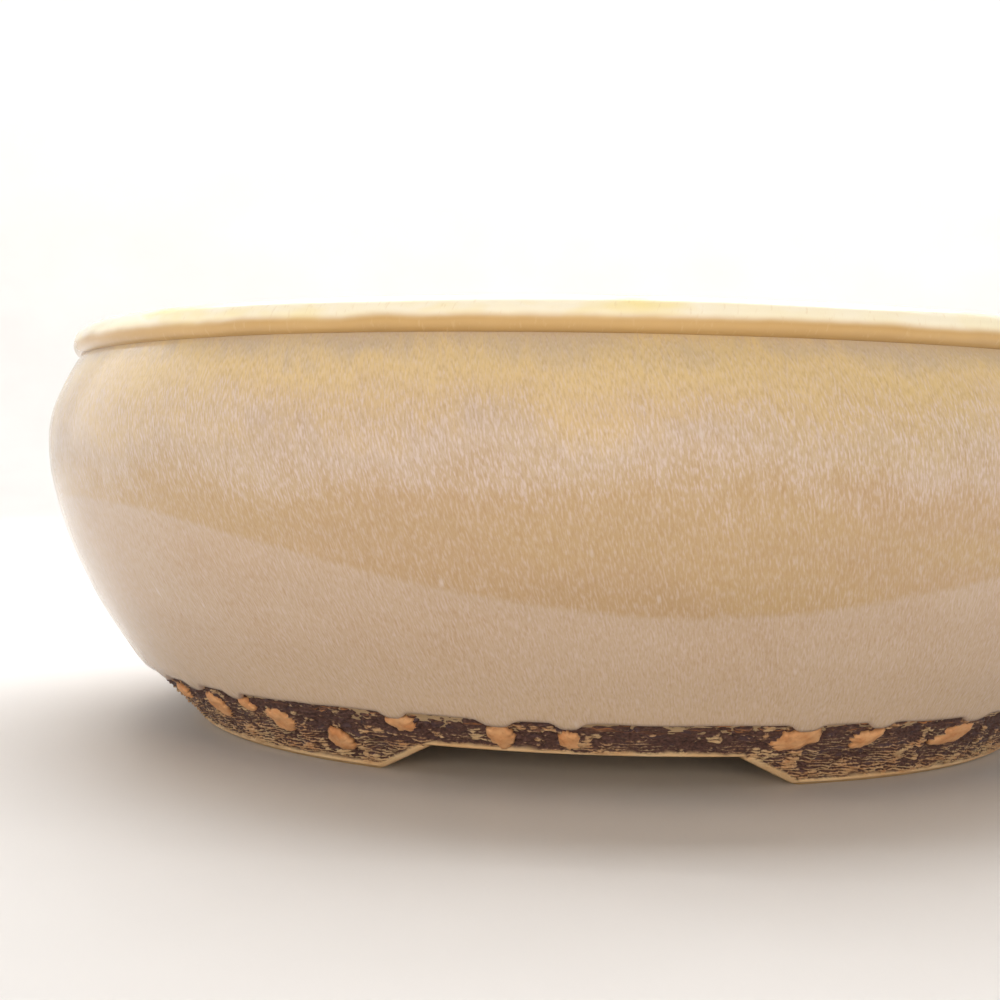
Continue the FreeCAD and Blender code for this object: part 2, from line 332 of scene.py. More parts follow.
def rim_glaze():
    azimuth = np.linspace(0, TURN, BODY_COLUMNS, endpoint=False)[None, :]
    over = eased_curve(lip_section(), 72)
    around = turned(azimuth, MID_RADIUS, 0)
    end = RIM_GLAZE_END + 0.6 * MM + 1.1 * MM * (1 + cloudy(around, [9 * MM, 9 * MM, 1], SEED + 5, 3))
    down = np.linspace(0, 1, 40)[1:, None]
    inside_height = CREASE + (end - CREASE) * down
    height = np.concatenate([over[:, 1:] + 0 * azimuth, inside_height])
    radius = np.concatenate([over[:, :1] + 0 * azimuth, INSIDE(inside_height)])
    place = turned(azimuth, MID_RADIUS, height)
    waver = 0.06 * MM * lattice_noise(place / [16 * MM, 16 * MM, 30 * MM], SEED + 6)
    radius = radius + waver - 0.06 * MM
    height = height + 0.05 * MM * lattice_noise(around / (24 * MM), SEED + 7) - 0.05 * MM
    extra = {"height": height}
    return coat_piece("rim_glaze_coat", azimuth, radius, height, RIM_COAT, -1, extra)


# ---- bare clay ---------------------------------------------------------------------------
def lip_clay():
    """The turned lip, just inside its glaze."""
    azimuth = np.linspace(0, TURN, 360, endpoint=False)[None, :]
    over = eased_curve(lip_section(), 40)
    radius = over[:, :1] + np.where(over[:, :1] > over[:, :1].mean(), -0.08, 0.08) * MM + 0 * azimuth
    height = over[:, 1:] - 0.1 * MM + 0 * azimuth
    return ring_object("turned_lip", turned(azimuth, radius, height),
                       {"flow": turned(azimuth, MID_RADIUS, height)})


def wall_clay():
    """The thrown wall, with finger rings inside and a plain face behind the glaze."""
    azimuth = np.linspace(0, TURN, 720, endpoint=False)[None, :]
    up = np.linspace(GLAZE_LINE, CREASE, 30)[:, None]
    down = np.linspace(CREASE, FLOOR_TOP, 150)[:, None]
    rings = np.cos(down / FINGER_PITCH * TURN - azimuth)
    place = turned(azimuth, MID_RADIUS, down)
    above_floor = fade(down, FLOOR_TOP + 2 * MM, FLOOR_TOP + 8 * MM)
    below_glaze = fade(down, RIM_GLAZE_END, RIM_GLAZE_END - 5 * MM)
    uneven = cloudy(place, [20 * MM, 20 * MM, 9 * MM], SEED + 12)
    relief = above_floor * below_glaze * (0.2 * rings + 0.1 * uneven)
    inside = INSIDE(down) + MM * relief
    base = np.array([(FLOOR_RADIUS, FLOOR_TOP), (FLOOR_RADIUS, FOOT_TOP), (BARK_BACK_RADIUS, FOOT_TOP)])
    radius = np.concatenate([BODY(up) - COAT - 0.2 * MM + 0 * azimuth, inside, base[:, :1] + 0 * azimuth])
    height = np.concatenate([up + 0 * azimuth, down + 0 * azimuth, base[:, 1:] + 0 * azimuth])
    flow = turned(azimuth, MID_RADIUS, along_section(radius, height))
    return ring_object("thrown_wall", turned(azimuth, radius, height), {"flow": flow})


def coil_clay():
    """The corner coil, thumbed down all round into a hollow."""
    azimuth = np.linspace(0, TURN, 720, endpoint=False)[None, :]
    run, rise = COIL_RADIUS - COIL_INNER_RADIUS, COIL_TOP - FLOOR_TOP
    hollow = (run ** 2 + rise ** 2) / (2 * rise)
    angle = np.linspace(-0.02, 1.04, 40)[:, None] * math.asin(run / hollow)
    radius = COIL_INNER_RADIUS + hollow * np.sin(angle)
    height = FLOOR_TOP + hollow * (1 - np.cos(angle))
    presses = np.sin(THUMB_PRESSES * azimuth + 1.2 * np.sin(3 * azimuth))
    middle = np.sin(np.clip(angle / math.asin(run / hollow), 0, 1) * math.pi)
    press = MM * middle * (0.16 * presses + 0.12 * cloudy(turned(azimuth, radius, 0), 7 * MM, SEED + 15))
    radius, height = radius - press * np.sin(angle), height + press * np.cos(angle)
    back = np.array([(COIL_RADIUS + 1 * MM, FLOOR_TOP - 0.4 * MM), (COIL_INNER_RADIUS, FLOOR_TOP - 0.4 * MM)])
    radius = np.concatenate([radius, back[:, :1] + 0 * azimuth])
    height = np.concatenate([height, back[:, 1:] + 0 * azimuth])
    points = turned(azimuth, radius, height)
    return ring_object("thumbed_coil", points, {"flow": turned(azimuth, MID_RADIUS, height)})


def floor_holes():
    """The drain hole and the tie-wire holes as (x, y, radius), from the record's mounts."""
    mounts = {m["name"]: m for m in frame["record"]["mounts"]}
    wires = mounts["tie_wire_holes"]["dims"]
    holes = [(0, 0, mounts["drain_hole"]["dims"]["r_mm"] * MM)]
    for i in range(wires["count"]):
        angle = TURN * (i + 0.5) / wires["count"]
        reach = wires["pcd_mm"] / 2 * MM
        holes.append((reach * math.cos(angle), reach * math.sin(angle), wires["hole_r_mm"] * MM))
    return holes


def circle_points(x, y, radius, step):
    count = max(24, round(TURN * radius / step))
    angle = np.linspace(0, TURN, count, endpoint=False)
    return np.stack([x + radius * np.cos(angle), y + radius * np.sin(angle)], axis=-1)


def slab_plan(holes, soft):
    """Points over the floor: rings close round each hole's edge, then wider rings about the axis."""
    rims, fills = [], []
    for x, y, radius in holes:
        rims.append(circle_points(x, y, radius, 0.35 * MM))
        fills += [circle_points(x, y, radius + soft * k, 0.4 * MM) for k in (0.06, 0.2, 0.45, 0.8, 1.3)]
    outer = circle_points(0, 0, FLOOR_RADIUS, 0.9 * MM)
    step = 0.85 * MM
    for radius in np.arange(holes[0][2] + 3 * soft, FLOOR_RADIUS - step / 2, step):
        ring = circle_points(0, 0, radius, step)
        clear = np.ones(len(ring), bool)
        for x, y, hole in holes[1:]:
            clear &= np.hypot(ring[:, 0] - x, ring[:, 1] - y) > hole + 2 * soft
        fills.append(ring[clear])
    return rims, outer, np.concatenate(fills)


def slab_clay():
    """The floor, with a trimmed spiral on both faces and soft, sponged edges to its holes."""
    holes, soft = floor_holes(), SPONGED_EDGE
    rims, outer, fill = slab_plan(holes, soft)
    loops, start = [], 0
    for loop in [*rims, outer]:
        loops.append(np.arange(start, start + len(loop)))
        start += len(loop)
    plan = np.concatenate([*rims, outer, fill])
    edges = [(int(a), int(b)) for loop in loops for a, b in zip(loop, np.roll(loop, -1))]
    result = delaunay_2d_cdt([Vector(p) for p in plan / MM], edges, [], 0, 1e-6)
    flat = np.array([tuple(v) for v in result[0]]) * MM
    middle = flat[np.array(result[2])].mean(axis=1)
    kept = np.ones(len(middle), bool)
    for x, y, radius in holes:
        kept &= np.hypot(middle[:, 0] - x, middle[:, 1] - y) > radius
    triangles = np.array(result[2])[kept]
    edge = np.min([np.hypot(flat[:, 0] - x, flat[:, 1] - y) - radius for x, y, radius in holes], axis=0)
    fall = soft * (1 - np.sqrt(1 - np.clip(1 - edge / soft, 0, 1) ** 2))
    away, turn = np.hypot(flat[:, 0], flat[:, 1]), np.arctan2(flat[:, 1], flat[:, 0])
    place = np.column_stack([flat, np.zeros(len(flat))])
    spiral = 0.07 * MM * np.cos(away / TRIM_PITCH * TURN + turn) * fade(edge, 0, 2 * MM)
    spiral = spiral + 0.06 * MM * cloudy(place, 8 * MM, SEED + 20)
    top = np.column_stack([flat, FLOOR_TOP - fall + spiral])
    bottom = np.column_stack([flat, FOOT_TOP + fall + 0.08 * MM - 0.5 * spiral])
    count = len(flat)
    faces = triangles.tolist() + (triangles[:, ::-1] + count).tolist()
    for loop in loops:
        faces += [[a, b, b + count, a + count] for a, b in zip(loop.tolist(), np.roll(loop, -1).tolist())]
    points = np.concatenate([top, bottom])
    return mesh_object("trimmed_floor", points, faces, {"flow": points.copy()})


# ---- bark strip and feet -----------------------------------------------------------------
def measured_gap():
    """Half widths of the cut between two feet, at the sole and at the floor."""
    co = np.array([v.co for v in frame["nodes"]["foot_back"].data.vertices])
    off_axis = np.abs(co[:, 0]) * math.cos(GAP_FROM_FOOT) - co[:, 1] * math.sin(GAP_FROM_FOOT)
    width = np.abs(off_axis)
    at_sole = width[co[:, 2] < SOLE + 0.01 * MM].min()
    at_floor = width[co[:, 2] > FOOT_TOP - 0.01 * MM].min()
    return at_sole, at_floor


GAP_AT_SOLE, GAP_AT_FLOOR = measured_gap()


def gap_width(height):
    return GAP_AT_SOLE + (GAP_AT_FLOOR - GAP_AT_SOLE) * (height - SOLE) / (FOOT_TOP - SOLE)


def to_cut(azimuth, height):
    """Distance on the bark face to the nearest cut edge: a sole, a gap's side or its top."""
    radius = bark_radius(height)
    from_gap = np.abs((azimuth + GAP_FROM_FOOT) % (TURN / FEET) - GAP_FROM_FOOT)
    across = radius * np.sin(from_gap)
    steep = (GAP_AT_SOLE - GAP_AT_FLOOR) / (FOOT_TOP - SOLE)
    side = (across - gap_width(height)) / math.hypot(1, steep)
    below_floor = height < FOOT_TOP
    corner = np.hypot(np.maximum(across - GAP_AT_FLOOR, 0), height - FOOT_TOP)
    face = math.cos(FACE_TILT)
    to_gap = np.where(below_floor, np.maximum(side, 0), corner / face)
    return np.minimum(to_gap, (height - SOLE) / face)


def bark_relief(azimuth, height):
    """Relief of the bark, and how worn and how wiped each point is.

    Relief is in metres and always below 0, deepest in the cracks. The dark wash comes off as worn
    rises past 0.
    """
    down = (GLAZE_LINE - height) / math.cos(FACE_TILT)
    place = turned(azimuth, BARK_TOP_RADIUS, down)
    drift = 0.3 * MM * cloudy(place, [16 * MM, 16 * MM, 6 * MM], SEED + 30, 2)
    comb = np.cos((down + drift) / COMB_PITCH * TURN)
    breaks = cloudy(place, [0.9 * MM, 0.9 * MM, 0.5 * MM], SEED + 34, 2)
    tears = cloudy(place, [2.4 * MM, 2.4 * MM, 1.3 * MM], SEED + 38, 3)
    lumps = cloudy(place, [6 * MM, 6 * MM, 3 * MM], SEED + 42, 2)
    crack = fade(np.abs(cloudy(place, [3.4 * MM, 3.4 * MM, 2.2 * MM], SEED + 46, 3)), 0.1, 0.02)
    lichen = fade(cloudy(place, [1.6 * MM, 1.6 * MM, 1.3 * MM], SEED + 49, 3), 0.3, 0.5)
    low_down = down / (10 * MM)
    combed = fade(0.5 * lumps + 1.5 * (low_down - 0.36), -0.4, 0.3)
    relief = 0.11 * comb * (0.35 + 0.65 * combed) + 0.24 * breaks + 0.28 * tears + 0.14 * lumps
    relief = relief - 0.34 * crack * (1 - 0.7 * combed) + 0.16 * lichen
    ragged = 0.42 * breaks + 0.3 * tears
    worn = 0.55 * comb * (0.3 + 0.7 * combed) + ragged * (1 - 0.4 * combed) + 0.18 * lumps
    worn = worn + 0.6 * (low_down - 0.95) - 0.6 * crack + 0.75 * lichen
    ledge = fade(down, 0.8 * MM, 0.2 * MM)
    relief = relief * (1 - 0.5 * ledge) + 0.1 * ledge
    edge = to_cut(azimuth, height)
    wiped = fade(edge + 0.16 * MM * tears, WIPED_WIDTH, 0.6 * WIPED_WIDTH)
    sunk = -0.38 + relief * (1 - wiped) + 0.28 * wiped
    return MM * np.minimum(sunk, -0.02), worn, wiped


def bark_attributes(azimuth, height, worn, wiped):
    down = (GLAZE_LINE - height) / math.cos(FACE_TILT)
    return {"flow": turned(azimuth, BARK_TOP_RADIUS, down), "worn": worn + 0 * azimuth,
            "wiped": wiped + 0 * azimuth, "down": down + 0 * azimuth}


def plain_attributes(points):
    """What the bark's look needs on the smooth clay behind and beneath it."""
    none = 0 * points[..., 0]
    return {"flow": points, "worn": none, "wiped": none + 1, "down": none}


def rounded(distance):
    """How far a surface falls back at this distance from a rounded edge."""
    return EDGE_ROUND * (1 - np.sqrt(1 - np.clip(1 - distance / EDGE_ROUND, 0, 1) ** 2))


def bark_strip():
    azimuth = np.linspace(0, TURN, BARK_COLUMNS, endpoint=False)[None, :]
    rows = round((GLAZE_LINE - FOOT_TOP) / math.cos(FACE_TILT) / BARK_STEP)
    height = np.linspace(GLAZE_LINE, FOOT_TOP, rows)[:, None] + 0 * azimuth
    sink, worn, wiped = bark_relief(azimuth, height)
    sink = sink - rounded(to_cut(azimuth, height))
    radius = bark_radius(height) + sink * math.cos(FACE_TILT)
    face = turned(azimuth, radius, height - sink * math.sin(FACE_TILT))
    back = np.array([(BARK_BACK_RADIUS, FOOT_TOP), (BARK_BACK_RADIUS, FOOT_TOP + 0.5 * MM),
                     (BARK_TOP_RADIUS - 1.9 * MM, GLAZE_LINE)])
    behind = turned(azimuth, back[:, :1], back[:, 1:])
    attributes = bark_attributes(azimuth, height, worn, wiped)
    plain = plain_attributes(behind)
    attributes = {key: np.concatenate([v, plain[key]]) for key, v in attributes.items()}
    return ring_object("bark_strip", np.concatenate([face, behind]), attributes)


def to_foot_end(radius, height):
    """Angle from a foot's middle to the flat side of the gap beside it."""
    return GAP_FROM_FOOT - np.arcsin(gap_width(height) / radius)


def foot(name, middle):
    """One foot: the bark face carried on down, a flat sole and a plain inner side."""
    face_rows = round((FOOT_TOP - SOLE) / math.cos(FACE_TILT) / BARK_STEP)
    height = np.linspace(FOOT_TOP, SOLE, face_rows)[:, None]
    sole_radius = np.linspace(bark_radius(SOLE) - EDGE_ROUND, FOOT_INNER_RADIUS + EDGE_ROUND, 12)[:, None]
    inner_height = np.linspace(SOLE, FOOT_TOP, 12)[:, None]
    lid_radius = np.linspace(FOOT_INNER_RADIUS, bark_radius(FOOT_TOP), 8)[1:-1, None]
    inner_radius = 0 * inner_height + FOOT_INNER_RADIUS
    radius = np.concatenate([bark_radius(height), sole_radius, inner_radius, lid_radius])
    level = np.concatenate([height, 0 * sole_radius + SOLE, inner_height, 0 * lid_radius + FOOT_TOP])
    half = to_foot_end(radius, level)
    columns = round(2 * half.max() * bark_radius(SOLE) / FOOT_GRAIN)
    spread = np.linspace(-1, 1, columns)[None, :]
    spread = np.sign(spread) * (1 - (1 - np.abs(spread)) ** 1.25)  # closer towards the rounded ends
    azimuth = middle + half * spread
    end_round = rounded((1 - np.abs(spread)) * half * radius)
    face = slice(0, face_rows)
    sink, worn, wiped = bark_relief(azimuth[face], height + 0 * spread)
    sole_round = rounded((height - SOLE) / math.cos(FACE_TILT))
    sink = sink - np.maximum(sole_round, end_round[face])
    full_radius, full_level = radius + 0 * spread, level + 0 * spread
    full_radius[face] = full_radius[face] + sink * math.cos(FACE_TILT)
    full_level[face] = np.maximum(full_level[face] - sink * math.sin(FACE_TILT), SOLE)
    sole = slice(face_rows, face_rows + len(sole_radius))
    full_level[sole] = full_level[sole] + end_round[sole]
    inner = slice(sole.stop, sole.stop + len(inner_height))
    full_radius[inner] = full_radius[inner] + np.maximum(end_round[inner], rounded(inner_height - SOLE))
    points = turned(middle + to_foot_end(full_radius, full_level) * spread, full_radius, full_level)
    attributes = bark_attributes(azimuth[face], height + 0 * spread, worn, wiped)
    plain = plain_attributes(points[face_rows:])
    attributes = {key: np.concatenate([v, plain[key]]) for key, v in attributes.items()}
    return ring_object(name, points, attributes, close_columns=False)


# ---- dabs --------------------------------------------------------------------------------
def cad_pads():
    """Place, size and tilt of each pad in the CAD's clay_dabs node."""
    shape = bmesh.new()
    shape.from_mesh(frame["nodes"]["clay_dabs"].data)
    bmesh.ops.remove_doubles(shape, verts=shape.verts, dist=1e-6)
    left, pads = set(shape.verts), []
    while left:
        island, edge = set(), [left.pop()]
        while edge:
            vertex = edge.pop()
            island.add(vertex)
            near = [e.other_vert(vertex) for e in vertex.link_edges]
            fresh = [v for v in near if v in left]
            left.difference_update(fresh)
            edge += fresh
        pads.append(pad_facts(np.array([v.co for v in island])))
    shape.free()
    return sorted(pads, key=lambda pad: pad["azimuth"])


def pad_facts(points):
    middle = (points.min(axis=0) + points.max(axis=0)) / 2
    azimuth = math.atan2(middle[0], -middle[1])
    right = np.array([math.cos(azimuth), math.sin(azimuth), 0])
    out = np.array([math.sin(azimuth), -math.cos(azimuth), 0])
    up = out * math.sin(FACE_TILT) + np.array([0, 0, math.cos(FACE_TILT)])
    flat = np.column_stack([(points - middle) @ right, (points - middle) @ up])
    spread = np.cov(flat.T)
    tilt = 0.5 * math.atan2(2 * spread[0, 1], spread[0, 0] - spread[1, 1])
    along = flat @ [math.cos(tilt), math.sin(tilt)]
    across = flat @ [-math.sin(tilt), math.cos(tilt)]
    return {"azimuth": azimuth, "height": middle[2], "top": points[:, 2].max(), "tilt": tilt,
            "half_length": np.ptp(along) / 2, "half_width": np.ptp(across) / 2}


PADS = cad_pads()


def dab_points(pad, seed, rings, spokes):
    """One pressed dab as a low mound with a ragged outline, and how near each point is to its edge."""
    turn = np.linspace(0, TURN, spokes, endpoint=False)[None, :]
    reach = np.linspace(0, 1, rings)[:, None]
    outline = np.stack([np.cos(turn), np.sin(turn), 0 * turn + seed * 3.7], axis=-1)
    ragged = 1 + 0.34 * cloudy(outline, 0.6, seed, 3) + 0.13 * lattice_noise(outline * 5, seed)
    size = np.array([pad["half_length"], 1.6 * pad["half_width"]])
    along, across = size[0] * reach * ragged * np.cos(turn), size[1] * reach * ragged * np.sin(turn)
    cos, sin = math.cos(pad["tilt"]), math.sin(pad["tilt"])
    side, up = along * cos - across * sin, along * sin + across * cos
    height = pad["height"] + up * math.cos(FACE_TILT)
    azimuth = pad["azimuth"] + side / bark_radius(height)
    mound = np.sqrt(np.clip(1 - reach ** 4, 0, 1))
    place = turned(azimuth, BARK_TOP_RADIUS, height)
    rough = 0.2 * MM * cloudy(place, 1.1 * MM, seed + 3, 3)
    proud = (0.62 * MM + rough) * mound - 0.5 * MM
    radius = bark_radius(height) + proud * math.cos(FACE_TILT)
    level = height - proud * math.sin(FACE_TILT)
    return turned(azimuth, radius, level), reach + 0 * turn


def pressed_dabs():
    """All the dabs as one piece: a ringed mound each, closed underneath."""
    rings, spokes = 16, 72
    points, faces, rim = [], [], []
    for number, pad in enumerate(PADS):
        mound, reach = dab_points(pad, SEED + 50 + number, rings, spokes)
        start = sum(len(p) for p in points)
        faces += (grid_faces(rings, spokes, False, True)[spokes:] + start).tolist()
        faces += [[start, start + spokes + k, start + spokes + (k + 1) % spokes] for k in range(spokes)]
        faces.append([start + (rings - 1) * spokes + k for k in range(spokes)])
        points.append(mound.reshape(-1, 3))
        rim.append(reach.ravel())
    points, rim = np.concatenate(points), np.concatenate(rim)
    piece = mesh_object("pressed_dabs", points, faces, {"flow": points.copy(), "rim": rim})
    drop_loose(piece.data)
    return piece


def drop_loose(mesh):
    """Remove vertices that no face uses."""
    shape = bmesh.new()
    shape.from_mesh(mesh)
    loose = [v for v in shape.verts if not v.link_faces]
    bmesh.ops.delete(shape, geom=loose, context="VERTS")
    shape.to_mesh(mesh)
    shape.free()


# ---- material nodes ----------------------------------------------------------------------
def srgb(red, green, blue):
    """A colour given as 0 to 255 screen values, in linear light."""
    shares = [level / 255 for level in (red, green, blue)]
    linear = [c / 12.92 if c <= 0.04045 else ((c + 0.055) / 1.055) ** 2.4 for c in shares]
    return (*linear, 1)


class Look:
    """A principled material and short ways to add nodes to it."""

    def __init__(self, name, **constants):
        self.material = bpy.data.materials.new(name)
        self.material.use_nodes = True
        self.tree = self.material.node_tree
        self.shader = self.tree.nodes["Principled BSDF"]
        for socket, value in constants.items():
            self.shader.inputs[socket.replace("_", " ")].default_value = value

    def add(self, kind, inputs=(), **settings):
        made = self.tree.nodes.new(kind)
        for key, value in settings.items():
            setattr(made, key, value)
        for key, value in dict(inputs).items():
            self.feed(made.inputs[key], value)
        return made

    def feed(self, socket, value):
        if isinstance(value, bpy.types.NodeSocket):
            self.tree.links.new(value, socket)
        else:
            socket.default_value = value

    def attribute(self, name, field="Fac"):
        return self.add("ShaderNodeAttribute", attribute_name=name).outputs[field]

    def stretched(self, coordinates, size):
        """Coordinates scaled so that one noise cell is as big as size, in millimetres."""
        scale = [1 / (s * MM) for s in size]
        return self.add("ShaderNodeMapping", {"Vector": coordinates, "Scale": scale}).outputs[0]

    def noise(self, coordinates, size, detail=2.0):
        vector = self.stretched(coordinates, size)
        return self.add("ShaderNodeTexNoise", {"Vector": vector, "Scale": 1.0, "Detail": detail}).outputs[0]

    def cells(self, coordinates, size):
        vector = self.stretched(coordinates, size)
        return self.add("ShaderNodeTexVoronoi", {"Vector": vector, "Scale": 1.0}).outputs["Distance"]

    def span(self, value, low, high, to_low=0.0, to_high=1.0, eased="SMOOTHSTEP"):
        """Map low..high to to_low..to_high, clamped."""
        inputs = {"Value": value, "From Min": low, "From Max": high, "To Min": to_low, "To Max": to_high}
        return self.add("ShaderNodeMapRange", inputs, interpolation_type=eased).outputs[0]

    def math(self, operation, a, b=0.0):
        made = self.add("ShaderNodeMath", operation=operation)
        self.feed(made.inputs[0], a)
        self.feed(made.inputs[1], b)
        return made.outputs[0]

    def mix(self, amount, a, b):
        made = self.add("ShaderNodeMix", data_type="RGBA")
        self.feed(made.inputs["Factor"], amount)
        self.feed(made.inputs[6], a)
        self.feed(made.inputs[7], b)
        return made.outputs[2]

    def ramp(self, value, stops):
        """A colour ramp through (position, colour) stops."""
        made = self.add("ShaderNodeValToRGB", {"Fac": value})
        points = made.color_ramp.elements
        while len(points) < len(stops):
            points.new(0.5)
        for point, (position, colour) in zip(points, stops):
            point.position = position
            point.color = colour
        return made.outputs[0]

    def bump(self, height, distance, strength=1.0, normal=None):
        inputs = {"Height": height, "Distance": distance * MM, "Strength": strength}
        if normal:
            inputs["Normal"] = normal
        return self.add("ShaderNodeBump", inputs).outputs[0]

    def finish(self, colour, roughness, normal):
        self.feed(self.shader.inputs["Base Color"], colour)
        self.feed(self.shader.inputs["Roughness"], roughness)
        self.feed(self.shader.inputs["Normal"], normal)
        return self.material


def body_glaze_look():
    """Runny ochre glaze: height zones that carry painted shade, lilac hare's-fur streaks, and a paler zone
    below a wavy line.
    """
    look = Look("body_glaze", IOR=1.56)
    flow = look.attribute("flow", "Vector")
    height = look.attribute("height")
    mottle = look.noise(flow, (11, 11, 7), 4)
    run = look.noise(flow, (1.4, 1.4, 6), 3)
    zone = look.math("ADD", look.span(height, GLAZE_LINE, CREASE, 0, 1, "LINEAR"),
                     look.math("MULTIPLY", look.math("SUBTRACT", run, 0.5), 0.14))
    zone = look.math("ADD", zone, look.math("MULTIPLY", look.math("SUBTRACT", mottle, 0.5), 0.3))
    # Height ramp: real hue bands (ochre yellow high up, lilac in the middle) plus painted shade, darker
    # towards the bottom and just under the lip.
    upper = look.ramp(zone, [(0.34, srgb(185, 157, 120)), (0.58, srgb(190, 162, 126)),
                             (0.70, srgb(200, 180, 158)), (0.81, srgb(211, 186, 147)),
                             (0.92, srgb(222, 197, 148)), (1.0, srgb(204, 185, 156))])
    to_right = look.span(look.add("ShaderNodeSeparateXYZ", {"Vector": flow}).outputs["X"], 0, 60 * MM, 0.3, 1)
    olive = look.span(look.noise(flow, (34, 34, 12), 2), 0.42, 0.6, 0, 0.4)
    upper = look.mix(look.math("MULTIPLY", olive, to_right), upper, srgb(200, 176, 110))
    # A paler zone below a wavy line, paler still towards the bottom of the glaze.
    paler_below = look.span(look.attribute("above_paler_line"), 0.45 * MM, -0.45 * MM)
    lower = look.ramp(mottle, [(0.3, srgb(194, 170, 144)), (0.7, srgb(198, 177, 154))])
    lower = look.mix(look.span(height, 17 * MM, 9 * MM, 0, 0.8), lower, srgb(208, 186, 160))
    base = look.mix(paler_below, upper, lower)
    fur = look.noise(flow, (0.2, 0.2, 0.8), 3)
    lilac = look.math("MULTIPLY", look.span(zone, 0.5, 0.7), look.span(zone, 0.92, 0.74))
    amount = look.math("MULTIPLY", look.span(fur, 0.4, 0.75), look.span(lilac, 0, 1, 0.3, 0.6))
    base = look.mix(amount, base, srgb(225, 212, 215))
    dark = look.noise(flow, (0.2, 0.2, 0.7), 3)
    base = look.mix(look.span(dark, 0.4, 0.85, 0, 0.4), base, srgb(168, 130, 82))
    near = look.span(look.cells(flow, (2.2, 2.2, 5)), 0.16, 0.04)
    chosen = look.span(look.noise(flow, (3, 3, 3), 2), 0.48, 0.68, 0, 0.5)
    base = look.mix(look.math("MULTIPLY", near, chosen), base, srgb(226, 218, 220))
    thin = look.span(look.attribute("above_edge"), 0.7 * MM, 0.1 * MM, 0, 0.75)
    base = look.mix(thin, base, srgb(198, 172, 158))
    relief = look.bump(look.noise(flow, (2.4, 2.4, 3.4), 2), 0.035)
    relief = look.bump(fur, 0.01, 1.0, relief)
    return look.finish(base, look.span(mottle, 0.3, 0.7, 0.1, 0.17), relief)


def rim_glaze_look():
    """Smooth caramel glaze on the lip's face and inside. Its cream crown is partly glaze breaking over the
    edge and partly painted light on the up-facing top; its darker foot is partly pooled glaze and partly
    painted shade in the crease.
    """
    look = Look("rim_glaze", IOR=1.56)
    flow = look.attribute("flow", "Vector")
    wave = look.noise(flow, (16, 16, 4), 3)
    uneven = look.math("MULTIPLY", look.math("SUBTRACT", look.noise(flow, (9, 9, 5), 3), 0.5), 0.7 * MM)
    height = look.math("ADD", look.attribute("height"), uneven)
    # Cream over the crown: partly glaze breaking over the edge, partly painted light where the lip faces up.
    crown = look.span(height, CREASE + 0.9 * MM, CREASE + 1.8 * MM)
    honey = look.ramp(wave, [(0.3, srgb(200, 164, 106)), (0.7, srgb(210, 175, 118))])
    # Darker towards the crease: partly thicker glaze pooled there, partly painted shade in the crease.
    foot = look.span(height, CREASE + 0.8 * MM, CREASE + 0.1 * MM, 0, 0.5)
    honey = look.mix(foot, honey, srgb(172, 140, 92))
    cream = look.ramp(wave, [(0.4, srgb(252, 245, 216)), (0.5, srgb(253, 248, 228)),
                             (0.64, srgb(250, 236, 178))])
    colour = look.mix(crown, honey, cream)
    fleck = look.span(look.noise(flow, (0.4, 0.4, 0.9), 3), 0.58, 0.75, 0, 0.25)
    colour = look.mix(fleck, colour, srgb(222, 194, 150))
    relief = look.bump(look.noise(flow, (4, 4, 3), 2), 0.04)
    return look.finish(colour, look.span(wave, 0.3, 0.7, 0.1, 0.16), relief)


def clay_look():
    """Bare buff stoneware: sandy grain, iron specks, and slip dragged round by the fingers."""
    look = Look("buff_clay", IOR=1.45)
    flow = look.attribute("flow", "Vector")
    cloud = look.noise(flow, (14, 14, 6), 4)
    grain = look.noise(flow, (0.45, 0.45, 0.35), 4)
    drag = look.noise(flow, (9, 9, 0.5), 3)
    colour = look.ramp(cloud, [(0.3, srgb(196, 168, 130)), (0.7, srgb(212, 186, 148))])
    colour = look.mix(look.span(drag, 0.45, 0.75, 0, 0.4), colour, srgb(184, 150, 112))
    colour = look.mix(look.span(grain, 0.55, 0.75, 0, 0.4), colour, srgb(228, 208, 174))
    specks = look.span(look.cells(flow, (2.2, 2.2, 2.2)), 0.12, 0.06, 0, 0.8)
    colour = look.mix(specks, colour, srgb(96, 62, 40))
    relief = look.bump(grain, 0.06)
    relief = look.bump(drag, 0.06, 1.0, relief)
    return look.finish(colour, look.span(grain, 0.3, 0.7, 0.72, 0.9), relief)


